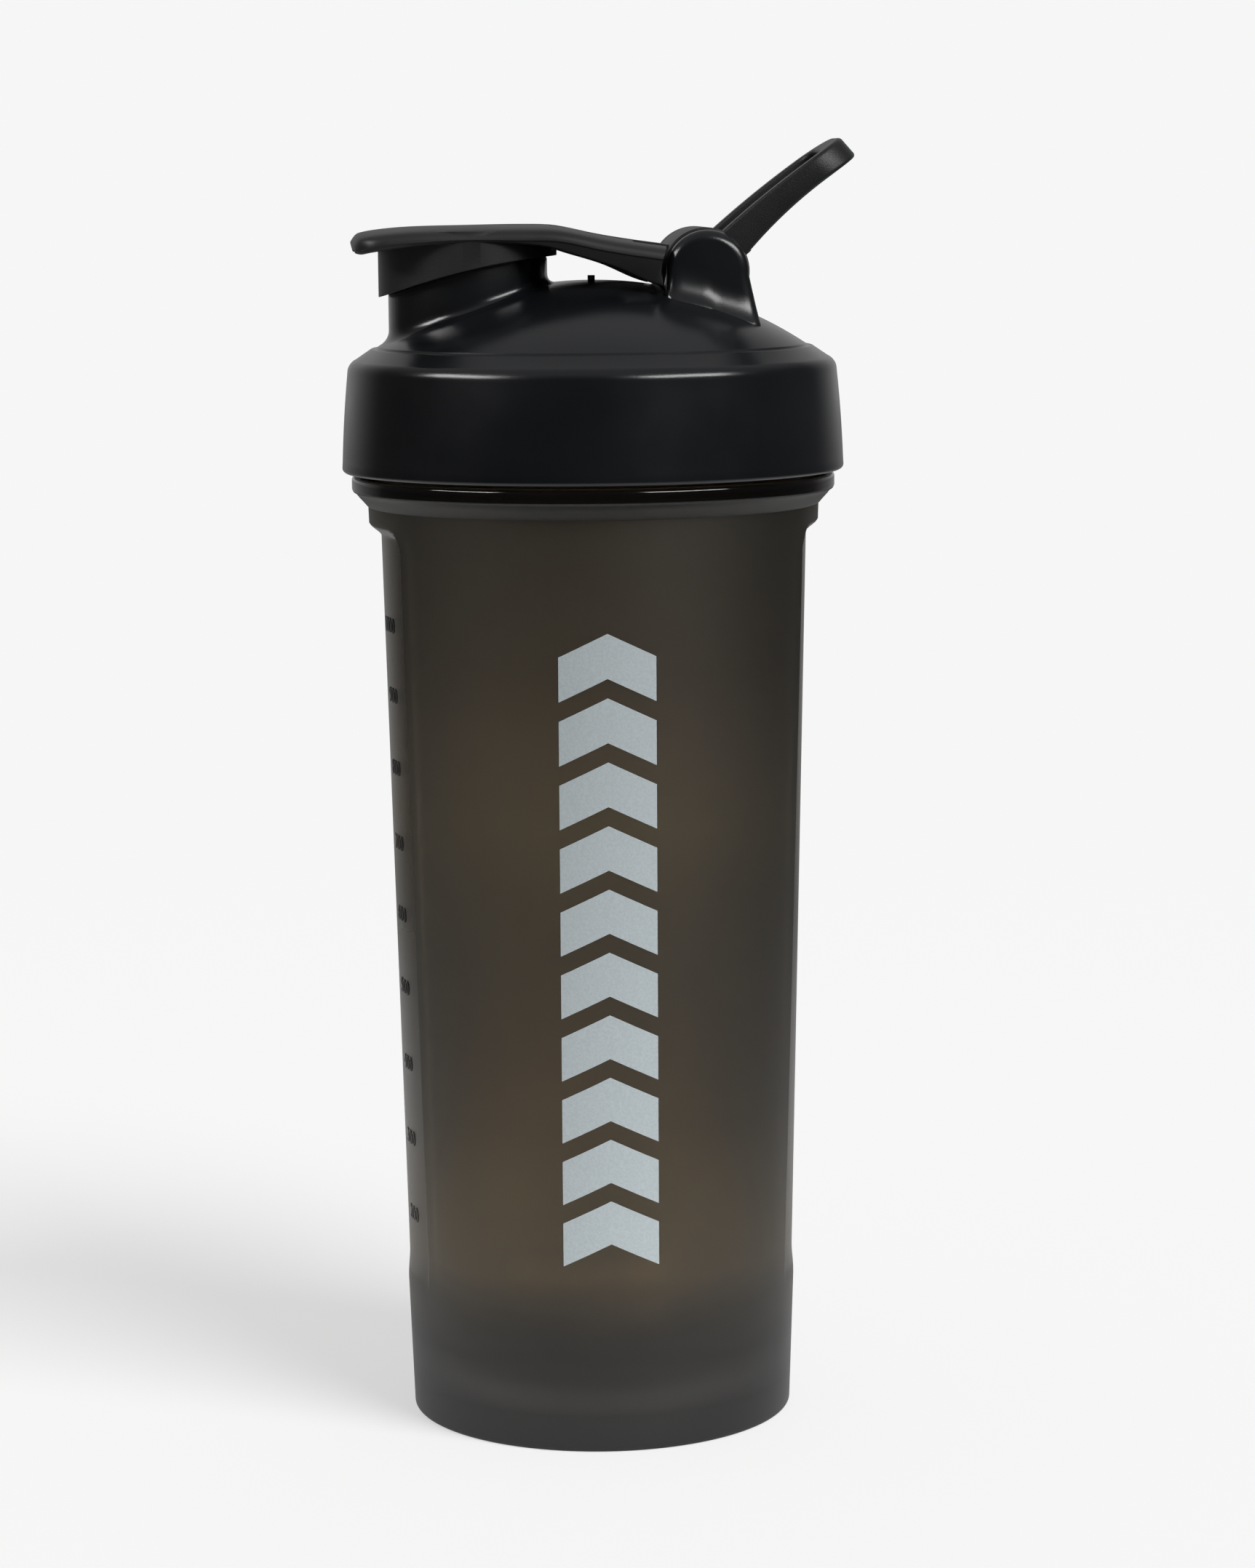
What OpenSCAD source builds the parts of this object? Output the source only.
// Protein shaker bottle: a tapered cup with two grip panels, a screw lid with a
// domed top and a round spout, a flip cap and a carry loop on one hinge, and a
// loose wire whisk ball inside. Origin: centre of the cup's foot ring. +Z is up,
// the spout is on the -X side and the hinge is on the +X side.

/* [Cup] */
// Radius of the cup's cone, carried down to the foot
foot_r = 42.4; // [34:0.1:50]
// Radius at the top of the cone, which the neck and the lid follow
top_r = 49.5; // [44:0.1:58]
// Height of the cup from its foot to the collar under the flare
cone_h = 203.2; // [150:0.1:250]
// Thickness of the cup's wall
cup_wall = 1.8; // [1.4:0.1:2.4]
// Rounding of the foot's outer edge
foot_round = 0.8; // [0.4:0.1:1.6]
// Height of the bowl's floor above the foot
floor_z = 7; // [5:0.1:12]
// Thickness of the bowl's floor
floor_t = 2; // [1.4:0.1:3]
// Radius of the bowl's rounded corner, on the inside
bowl_round = 22; // [12:0.5:28]

/* [Grip panels] */
// Depth of the recess near its top end
panel_depth_top = 2.6; // [1:0.1:3.2]
// Depth of the recess near its bottom end
panel_depth_bottom = 0.5; // [0.3:0.1:1]
// Height of the panel's lower end
panel_low = 32; // [24:0.5:60]
// Drop of the panel's upper end below the flare
panel_drop = 3.6; // [2:0.1:12]
// Half of the panel's width at its upper end
panel_half_top = 20.5; // [16:0.5:26]
// Half of the panel's width at its lower end
panel_half_bottom = 18.2; // [12:0.1:22]
// Slope of the panel's side steps, out from the panel's middle
panel_side_slope = 35; // [15:1:55]

/* [Flare and neck] */
// How far the bead stands out past the neck
bead_out = 3.5; // [2.6:0.1:4.5]
// Height of the bead
bead_h = 2.9; // [2:0.1:5]
// Height of the neck above the bead
neck_h = 18.1; // [16:0.1:22]
// Thickness of the neck's wall
neck_wall = 2; // [1.4:0.1:2.6]

/* [Screw thread] */
// Height of the thread's ridge above the wall that it stands on
thread_h = 1.6; // [1:0.1:2.2]
// Rise of the thread in one turn
thread_lead = 10; // [8:0.5:14]
// Number of thread starts
thread_starts = 2; // [1:1:2]
// Turns that each ridge makes
thread_turns = 0.9; // [0.5:0.1:1]
// Width of the ridge at its root
thread_root = 2.1; // [1.4:0.1:2.4]
// Width of the ridge at its crest
thread_crest = 1; // [0.6:0.1:1.4]

/* [Lid] */
// Thickness of the lid's skirt at the bottom
skirt_wall = 3.3; // [2:0.1:4]
// Gap between the bead and the bottom of the skirt
skirt_gap = 0.75; // [0.4:0.05:2]
// Height of the skirt to the start of its rounded shoulder
skirt_h = 21.6; // [20:0.1:28]
// Radius of the shoulder
shoulder_r = 3.2; // [1.5:0.1:4]
// Radius of the domed top
dome_r = 84.8; // [75:0.1:140]
// Thickness of the domed top
dome_wall = 2.2; // [1.6:0.1:3]
// Depth of the crease between shoulder and dome
crease = 0.7; // [0.3:0.1:1.2]

/* [Spout] */
// Distance of the spout's centre from the cup's axis
spout_out = 27; // [24:0.1:32]
// Outer radius of the spout
spout_r = 17.35; // [14:0.1:18.4]
// Thickness of the spout's wall
spout_wall = 2; // [1.4:0.1:3]
// Height of the spout's rim above the dome's centre
spout_rise = 5.35; // [3:0.05:7]

/* [Hinge] */
// Distance of the hinge axis from the cup's axis
hinge_out = 23.9; // [22:0.1:27]
// Height of the hinge axis above the dome's centre
hinge_rise = 1.75; // [0.5:0.05:4]
// Radius of the ears' round top
ear_r = 9; // [7:0.1:10]
// Thickness of each ear
ear_t = 4.7; // [3:0.1:6]
// Radius of the hubs between the ears
hub_r = 9.5; // [7:0.1:10]
// Width of the flip cap's hub
cap_hub_w = 17; // [10:0.5:22]
// Radius of the hinge pin
pin_r = 2.5; // [1.5:0.1:3.5]

/* [Flip cap] */
// Width of the cap across its rolled sides
cap_w = 39.4; // [36:0.1:48]
// Reach of the thumb lip past the spout
lip_out = 8; // [5:0.1:14]
// Height of the cap's top above the spout's rim
cap_rise = 6.6; // [5:0.1:10]
// Depth of the rolled rim
rim_h = 3.3; // [2:0.1:5]
// Thickness of the cap's top skin
cap_skin = 2.2; // [1.5:0.1:3]
// Length of the sealing plug below the spout's rim
plug_in = 5.6; // [3:0.1:8]
// Thickness of the plug's wall
plug_wall = 1.6; // [1:0.1:2.4]
// Thickness of the shroud around the spout
shroud_wall = 1.4; // [1:0.1:2]
// Radius of the arc that trims the shroud's lower edge
shroud_arc = 119; // [90:1:160]

/* [Carry loop] */
// Reach of the loop from the hinge axis
loop_reach = 41.6; // [30:0.1:60]
// Thickness of each arm, along the hinge axis
loop_arm_t = 4.2; // [3:0.1:5]
// Angle of the loop above level, at rest
loop_angle = 41.5; // [30:0.5:60]
// Width of the loop's end bar
loop_bar = 5.4; // [4:0.1:8]
// Radius of the loop's outer corners
loop_corner = 9; // [5:0.5:11]

/* [Whisk ball] */
// Outer radius of the ball
ball_r = 25; // [18:0.5:29]
// Radius of the ball's wire
wire_r = 1; // [0.7:0.1:1.5]
// Number of turns of the wire
wire_turns = 9; // [6:1:10]

/* [Seal and clearances] */
// Thickness of the sealing ring
seal_t = 2; // [1:0.1:3]
// Clearance of the pin in its bores
pin_gap = 0.05; // [0.02:0.01:0.1]
// Gap between pieces that turn past each other
turn_gap = 0.3; // [0.2:0.05:0.5]
// Gap between screwed pieces
thread_gap = 0.6; // [0.4:0.05:0.9]
// Gap around the spout inside the cap
spout_gap = 0.5; // [0.3:0.05:0.8]
// Gap that keeps the seal from rubbing
seal_gap = 0.1; // [0.05:0.01:0.2]

/* [Hidden] */
$fn = 96;

// Cup heights
slope = (top_r - foot_r) / cone_h;
flare_h = bead_out - 0.5;
bead_z = cone_h + flare_h + 0.8;
bead_top = bead_z + bead_h;
neck_top = bead_top + neck_h;
bead_r = top_r + bead_out;
neck_in = top_r - neck_wall;
panel_top = cone_h - panel_drop;
function cone_r(z) = foot_r + slope * z;

// Lid heights and radii
lid_z = bead_top + skirt_gap;
lid_in = top_r + thread_h + thread_gap;
lid_r = lid_in + skirt_wall;
land_z = neck_top + seal_t + seal_gap;
shoulder_z = lid_z + skirt_h;
crease_r = lid_r - shoulder_r - 5;
crease_z = shoulder_z + shoulder_r + 2.45;
dome_c = crease_z - sqrt(dome_r * dome_r - crease_r * crease_r);
apex_z = dome_c + dome_r;
dome_in = dome_r - dome_wall;
plug_ring_r = neck_in - thread_gap;
function dome_z(r) = dome_c + sqrt(dome_r * dome_r - r * r);
function skirt_r(t) = lid_r - 0.0287 * t - 0.00176 * t * t;

// Spout, hinge and hub places
spout_x = -spout_out;
spout_top = apex_z + spout_rise;
spout_in = spout_r - spout_wall;
hinge_x = hinge_out;
hinge_z = apex_z + hinge_rise;
cap_half = cap_hub_w / 2;
loop_in = cap_half + turn_gap;
loop_half = loop_in + loop_arm_t;
ear_in = loop_half + turn_gap;
ear_out = ear_in + ear_t;
trough_r = hub_r + turn_gap + 0.2;
bore_r = pin_r + pin_gap;
pin_head_r = pin_r + 1.4;
pin_head_t = 1.2;
pin_blind = 1.6;

// Flip cap heights
cap_top = spout_top + cap_rise;
seat_z = spout_top + spout_gap;
shroud_in = spout_r + spout_gap + 0.2;
shroud_r = shroud_in + shroud_wall;
plug_r = spout_in - spout_gap;
lip_x = spout_x - spout_r - lip_out;
notch_r = ear_r + 1.3;
loop_notch_r = hub_r + 7.5;

// Carry loop
loop_web = hub_r + turn_gap + 0.4;
loop_slot_end = loop_reach - loop_bar;

// Whisk ball
ball_path_r = ball_r - wire_r;
ball_start = 10;
ball_z = floor_z + ball_path_r * cos(ball_start) + wire_r + 0.05;

// Points of an arc in a plane, from angle a to angle b
function arc(cx, cy, r, a, b, n) =
    [for (i = [0 : n]) let (t = a + (b - a) * i / n) [cx + r * cos(t), cy + r * sin(t)]];

// One helical ridge of trapezoid section, from radius root to radius crest
module ridge(root, crest, z_low, turn_start) {
    n = ceil(thread_turns * 36);
    section = [[0, -1], [1, -1], [1, 1], [0, 1]];
    points = [for (i = [0 : n]) let (
            angle = turn_start + 360 * thread_turns * i / n,
            z = z_low + thread_lead * thread_turns * i / n,
            rise = min(1, 0.1 + i / 4, 0.1 + (n - i) / 4))
        for (s = section) let (
            r = root + s[0] * rise * (crest - root),
            half = (s[0] == 0 ? thread_root : thread_crest) / 2)
        [r * cos(angle), r * sin(angle), z + s[1] * half]];
    sides = [for (i = [0 : n - 1], j = [0 : 3]) let (
            a = 4 * i + j, b = 4 * i + (j + 1) % 4)
        each [[a, b, b + 4], [a, b + 4, a + 4]]];
    caps = [[3, 2, 1, 0], [4 * n, 4 * n + 1, 4 * n + 2, 4 * n + 3]];
    faces = concat(sides, caps);
    flipped = [for (f = faces) [for (k = [len(f) - 1 : -1 : 0]) f[k]]];
    polyhedron(points, crest > root ? faces : flipped, convexity = 6);
}

// All the thread's starts, spaced evenly
module thread(root, crest, z_low, turn_start) {
    for (s = [0 : thread_starts - 1])
        ridge(root, crest, z_low, turn_start + 360 * s / thread_starts);
}

// Space of one grip panel on the +X side, from radius inset below the surface
// outwards. Grow widens it all round, for the wall behind it.
module panel_space(inset, grow) {
    low = panel_low - grow;
    high = panel_top + grow;
    deep_top = cone_r(panel_top) - panel_depth_top - inset;
    deep_low = cone_r(panel_low) - panel_depth_bottom - inset;
    chamfer = panel_depth_top + inset + grow;
    intersection() {
        rotate([0, 0, -45])
            rotate_extrude(angle = 90)
                polygon([
                    [deep_low, low + 1.5], [deep_top, high - panel_depth_top],
                    [deep_top + chamfer, high - panel_depth_top + chamfer],
                    [deep_top + chamfer + 20, high], [deep_top + chamfer + 20, low - 20],
                    [deep_low + 20, low - 20]]);
        panel_wedge(grow);
    }
}

// Wedge with sloping sides that limits a grip panel's width
module panel_wedge(grow) {
    run = panel_top - panel_low;
    lean = atan((panel_half_top - panel_half_bottom) / run);
    mid_x = cone_r(panel_low) - 4;
    intersection_for (side = [-1, 1])
        translate([mid_x, side * (panel_half_bottom + grow), panel_low])
            rotate([-side * lean, 0, side * panel_side_slope])
                translate([-60, side > 0 ? -140 : 0, -80])
                    cube([160, 140, run + 160]);
}

// Outline of the cup's outside: foot, cone, flare, bead and neck
function cup_outline() = concat(
    arc(cone_r(foot_round) - foot_round, foot_round, foot_round, -90, 0, 5),
    [[cone_r(cone_h - 3.5), cone_h - 3.5], [top_r, cone_h],
     [top_r + flare_h - 0.2, cone_h + flare_h - 0.2]],
    arc(bead_r - 1.3, bead_z + 0.3, 1.3, -40, 0, 4),
    arc(bead_r - 0.9, bead_top - 0.9, 0.9, 0, 90, 4),
    [[top_r, bead_top], [top_r, neck_top - 0.6], [top_r - 0.6, neck_top],
     [0, neck_top], [0, 0]]);

// Outline of the cup's inside, above its bowl-shaped floor
function bowl_outline() = let (
        bowl_z = floor_z + bowl_round,
        bowl_x = cone_r(bowl_z) - cup_wall - bowl_round)
    concat([[0, floor_z]], arc(bowl_x, bowl_z, bowl_round, -90, 0, 12),
        [[top_r - cup_wall, cone_h - 2], [neck_in, cone_h + 1], [neck_in, neck_top + 1],
         [0, neck_top + 1]]);

// Outline of the open space under the bowl, inside the foot ring
function under_outline() = let (
        bowl_z = floor_z + bowl_round,
        bowl_x = cone_r(bowl_z) - cup_wall - bowl_round,
        outer = bowl_round + floor_t,
        under = [for (p = arc(bowl_x, bowl_z, outer, -90, 0, 24))
            if (p[0] < cone_r(p[1]) - cup_wall - 0.3) p],
        last = under[len(under) - 1])
    concat([[0, -1], [cone_r(0) - cup_wall, -1]],
        [[cone_r(last[1]) - cup_wall, last[1] + 0.2]],
        [for (k = [len(under) - 1 : -1 : 0]) under[k]], [[0, floor_z - floor_t]]);

module cup() {
    color([0.24, 0.21, 0.18]) {
        difference() {
            rotate_extrude() polygon(cup_outline());
            for (side = [0, 180]) rotate([0, 0, side]) panel_space(0, 0);
            difference() {
                rotate_extrude() polygon(bowl_outline());
                for (side = [0, 180]) rotate([0, 0, side]) panel_space(cup_wall, cup_wall);
            }
            rotate_extrude() polygon(under_outline());
        }
        thread(top_r - 0.5, top_r + thread_h, bead_top + 4.2, 20);
    }
}

// Outline of the lid's outside: skirt, shoulder, crease and dome
function lid_outline() = let (
        edge = skirt_r(skirt_h),
        crease_a = asin(crease_r / dome_r))
    concat(
        [[lid_in + 1, lid_z], [lid_r - 0.5, lid_z], [lid_r, lid_z + 0.5]],
        [for (k = [1 : 6]) let (t = skirt_h * k / 6) [skirt_r(t), lid_z + t]],
        arc(edge - shoulder_r, shoulder_z, shoulder_r, 10, 66, 6),
        [[crease_r + 0.9, crease_z - crease], [crease_r + 0.2, crease_z - crease],
         [crease_r, crease_z]],
        arc(0, dome_c, dome_r, 90 - crease_a, 90, 16));

// Outline of the space inside the lid, with the ring that enters the neck
function lid_space() = let (in_a = asin((plug_ring_r - 1.5) / dome_in))
    concat(
        [[0, lid_z - 1], [lid_in + 1.3, lid_z - 1], [lid_in, lid_z + 1], [lid_in, land_z],
         [plug_ring_r, land_z], [plug_ring_r, neck_top - 4],
         [plug_ring_r - 1.5, neck_top - 4]],
        arc(0, dome_c, dome_in, 90 - in_a, 90, 16));

// One ear at the side of the hinge, on the +Y side, without its bore
module ear() {
    round = 2.2;
    hull() {
        translate([hinge_x, ear_in, hinge_z]) rotate([-90, 0, 0])
            rotate_extrude($fn = 48)
                polygon(concat([[0, 0], [ear_r, 0]],
                    arc(ear_r - round, ear_t - round, round, 0, 90, 4), [[0, ear_t]]));
        base_z = dome_z(norm([hinge_x + ear_r + 3, ear_out])) - 1;
        for (x = [hinge_x - ear_r - 0.8 + round, hinge_x + ear_r + 2.6 - round])
            translate([x, ear_out - round, base_z]) cylinder(r = round, h = 0.2, $fn = 24);
        translate([hinge_x - ear_r - 0.8, ear_in, base_z])
            cube([2 * ear_r + 3.4, 0.2, 0.2]);
    }
}

// Trough between the ears that gives the turning hubs room, and its thin wall
module trough(r, half) {
    translate([hinge_x, half, hinge_z]) rotate([90, 0, 0]) cylinder(r = r, h = 2 * half);
}

module lid() {
    color([0.075, 0.078, 0.086]) {
        difference() {
            union() {
                rotate_extrude() polygon(concat(lid_outline(), [[0, lid_z]]));
                translate([spout_x, 0, crease_z - 8])
                    rotate_extrude() polygon(concat(
                        [[0, 0], [spout_r + 0.4, 0]],
                        arc(spout_r - 0.8, spout_top - crease_z + 7.2, 0.8, 0, 90, 4),
                        [[0, spout_top - crease_z + 8]]));
                for (side = [0, 1]) mirror([0, side, 0]) ear();
                translate([0, 0, apex_z - 1]) cylinder(r = 0.8, h = 2.2);
            }
            difference() {
                rotate_extrude() polygon(lid_space());
                intersection() {
                    trough(trough_r + dome_wall, ear_in + dome_wall);
                    translate([0, 0, lid_z]) cylinder(r = crease_r, h = 60);
                }
            }
            translate([spout_x, 0, crease_z - 20]) cylinder(r = spout_in, h = 60);
            trough(trough_r, ear_in);
            translate([hinge_x, -ear_in - ear_t + pin_blind, hinge_z]) rotate([-90, 0, 0])
                cylinder(r = bore_r, h = 60);
            translate([hinge_x, ear_out - pin_head_t - pin_gap, hinge_z]) rotate([-90, 0, 0])
                cylinder(r = pin_head_r + pin_gap, h = 10);
        }
        thread(lid_in + 0.5, lid_in - thread_h, bead_top + 4.2 + thread_lead / 4, 20);
    }
}

module lid_seal() {
    color([0.12, 0.12, 0.125])
        translate([0, 0, neck_top]) difference() {
            cylinder(r = top_r + 0.6, h = seal_t);
            translate([0, 0, -1]) cylinder(r = plug_ring_r + seal_gap, h = seal_t + 2);
        }
}

// Heights of the cap's top along its length, from the lip to the hinge
function cap_crown() = [
    [lip_x, cap_top - 2.3], [lip_x + 1.8, cap_top - 1.3], [lip_x + 6.5, cap_top - 0.5],
    [spout_x - 12, cap_top], [spout_x, cap_top + 0.2], [spout_x + 14, cap_top + 0.3],
    [spout_x + 19, cap_top], [spout_x + 28, cap_top - 1.9],
    [hinge_x - 16, hinge_z + 7.1], [hinge_x - 8.8, hinge_z + 5.8]];

// Heights of the cap's lower edge, from the hinge back to the lip
function cap_hem() = [
    [hinge_x - 8.8, hinge_z - 3.6], [hinge_x - 12, hinge_z - 2.3],
    [hinge_x - 20, hinge_z + 1.2], [hinge_x - 27, hinge_z + 3.4],
    [spout_x + 15, cap_top - rim_h - 1], [spout_x, cap_top - rim_h - 0.2],
    [spout_x - 12, cap_top - rim_h - 0.8], [lip_x + 1.5, cap_top - rim_h - 2.4]];

// Side outline of the cap pushed along the hinge axis to a half width
module cap_slab(outline, half) {
    translate([0, half, 0]) rotate([90, 0, 0]) linear_extrude(2 * half) polygon(outline);
}

// Plan of the cap: straight sides and a lip with rounded corners
module cap_plan(inset) {
    corner = 7 - inset;
    half = cap_w / 2 - inset;
    left = lip_x + inset;
    translate([0, 0, apex_z - 20]) linear_extrude(60) polygon(concat(
        [[hinge_x, -half], [hinge_x, half]],
        arc(left + corner, half - corner, corner, 90, 180, 8),
        arc(left + corner, corner - half, corner, 180, 270, 8)));
}

// Ring about the spout's axis between two radii and two heights
module spout_ring(r_in, r_out, low, high) {
    translate([spout_x, 0, low]) difference() {
        cylinder(r = r_out, h = high - low);
        translate([0, 0, -1]) cylinder(r = r_in, h = high - low + 2);
    }
}

module flip_cap() {
    skin_under = [for (p = cap_crown()) [p[0], p[1] - cap_skin]];
    color([0.125, 0.125, 0.125])
        difference() {
            union() {
                difference() {
                    intersection() {
                        cap_slab(concat(cap_crown(), cap_hem()), cap_w / 2 + 1);
                        cap_plan(0);
                    }
                    intersection() {
                        cap_slab(concat(skin_under, [[hinge_x - 8, apex_z - 10],
                            [lip_x, apex_z - 10]]), cap_w / 2 + 1);
                        cap_plan(2);
                    }
                }
                intersection() {
                    cap_slab(concat(cap_crown(), [[hinge_x, hinge_z + hub_r - 4],
                        [hinge_x, hinge_z - 2], [hinge_x - 12, hinge_z - 1],
                        [hinge_x - 20, hinge_z + 2.5], [hinge_x - 24, cap_top - 5],
                        [lip_x, cap_top - 3]]), cap_half);
                    translate([spout_x + shroud_r - 2, -30, apex_z - 20]) cube([70, 60, 60]);
                }
                trough(hub_r, cap_half);
                intersection() {
                    union() {
                        spout_ring(shroud_in, shroud_r, apex_z - 6, cap_top - 1);
                        spout_ring(plug_r - plug_wall, shroud_r, seat_z, cap_top - 1);
                    }
                    cap_slab(concat(cap_crown(), [[hinge_x - 8, apex_z - 12],
                        [lip_x, apex_z - 12]]), cap_w / 2 + 1);
                }
                translate([spout_x, 0, spout_top - plug_in]) difference() {
                    cylinder(r1 = plug_r - 0.3, r2 = plug_r, h = plug_in + 2);
                    translate([0, 0, -1]) cylinder(r = plug_r - plug_wall, h = plug_in + 6);
                }
            }
            // Lower edge of the shroud, which lets it swing clear of the spout
            difference() {
                translate([hinge_x - 25.2, 30, cap_top - 6.3 - shroud_arc]) rotate([90, 0, 0])
                    cylinder(r = shroud_arc, h = 60, $fn = 240);
                translate([spout_x, 0, apex_z - 30]) cylinder(r = spout_r, h = 60);
                translate([spout_x + shroud_r + 0.3, -40, apex_z - 30]) cube([90, 80, 60]);
            }
            // Room for the ears, and more for the loop's arms between them
            for (side = [0, 1]) mirror([0, side, 0]) {
                translate([hinge_x, cap_half, hinge_z]) rotate([-90, 0, 0])
                    cylinder(r = notch_r, h = 40);
                translate([hinge_x, cap_half, hinge_z]) rotate([-90, 0, 0])
                    cylinder(r = loop_notch_r, h = ear_in - cap_half);
            }
            translate([hinge_x, 40, hinge_z]) rotate([90, 0, 0]) cylinder(r = bore_r, h = 80);
        }
}

// Side outline of the loop's arm: s runs along the arm, n across it
function arm_top(s) = 4 - 0.0022 * (s - 8) * (s - 8);
function arm_low(s) = -2.3 - 0.005 * (s - 23) * (s - 23);

// The loop lying level along +X from the hinge axis, its axis at the origin
module loop_level() {
    steps = 10;
    difference() {
        union() {
            intersection() {
                rotate([90, 0, 0]) translate([0, 0, -loop_half]) linear_extrude(2 * loop_half)
                    polygon(concat(
                        [for (k = [0 : steps]) let (s = loop_reach * k / steps)
                            [s, arm_top(max(8, s))]],
                        [for (k = [steps : -1 : 0]) let (s = loop_reach * k / steps)
                            [s, arm_low(max(9, s))]]));
                translate([0, 0, -20]) linear_extrude(40)
                    polygon(concat(
                        [[0, loop_half], [0, -loop_half]],
                        arc(loop_reach - loop_corner, loop_corner - loop_half, loop_corner,
                            -90, 0, 8),
                        arc(loop_reach - loop_corner, loop_half - loop_corner, loop_corner,
                            0, 90, 8)));
            }
            rotate([90, 0, 0]) translate([0, 0, -loop_half])
                cylinder(r = hub_r, h = 2 * loop_half);
        }
        // The finger gap between the arms, and room for the cap's hub
        difference() {
            translate([0, 0, -20]) linear_extrude(40)
                polygon(concat(
                    [[-20, loop_in], [-20, -loop_in]],
                    arc(loop_slot_end - 4, 4 - loop_in, 4, -90, 0, 6),
                    arc(loop_slot_end - 4, loop_in - 4, 4, 0, 90, 6)));
            rotate([90, 0, 0]) translate([0, 0, -loop_half]) difference() {
                translate([0, -8, 0]) cube([loop_web + 2.6, 9.5, 2 * loop_half]);
                translate([0, 0, -1]) cylinder(r = loop_web, h = 2 * loop_half + 2);
            }
        }
        rotate([90, 0, 0]) translate([0, 0, -30]) cylinder(r = bore_r, h = 60);
    }
}

module carry_loop() {
    color([0.13, 0.13, 0.13])
        translate([hinge_x, 0, hinge_z]) rotate([0, -loop_angle, 0]) loop_level();
}

module hinge_pin() {
    color([0.09, 0.09, 0.095])
        translate([hinge_x, 0, hinge_z]) rotate([-90, 0, 0]) {
            translate([0, 0, -ear_out + pin_blind + pin_gap])
                cylinder(r = pin_r, h = 2 * ear_out - pin_blind - pin_gap - 0.6);
            translate([0, 0, ear_out - pin_head_t])
                cylinder(r = pin_head_r, h = pin_head_t - 0.2);
        }
}

// Centre line of the ball's wire at fraction u: a spiral on a sphere, pole to pole
function wire_dir(u) = let (
        polar = ball_start + (180 - 2 * ball_start) * u,
        turn = 360 * wire_turns * u)
    [sin(polar) * cos(turn), sin(polar) * sin(turn), -cos(polar)];

module whisk_ball() {
    sides = 6;
    n = wire_turns * 18;
    points = [for (i = [0 : n]) let (
            out = wire_dir(i / n),
            ahead = wire_dir((i + 0.1) / n) - wire_dir((i - 0.1) / n),
            along = ahead / norm(ahead),
            across = cross(along, out),
            across_unit = across / norm(across))
        for (k = [0 : sides - 1]) let (a = 360 * k / sides)
            ball_path_r * out + wire_r * (cos(a) * out + sin(a) * across_unit)];
    walls = [for (i = [0 : n - 1], k = [0 : sides - 1]) let (
            a = sides * i + k, b = sides * i + (k + 1) % sides)
        each [[a, b + sides, b], [a, a + sides, b + sides]]];
    ends = [[for (k = [0 : sides - 1]) k],
        [for (k = [sides - 1 : -1 : 0]) sides * n + k]];
    color([0.66, 0.66, 0.66])
        translate([0, 0, ball_z]) polyhedron(points, concat(walls, ends), convexity = 12);
}

cup();
lid();
lid_seal();
flip_cap();
carry_loop();
hinge_pin();
whisk_ball();
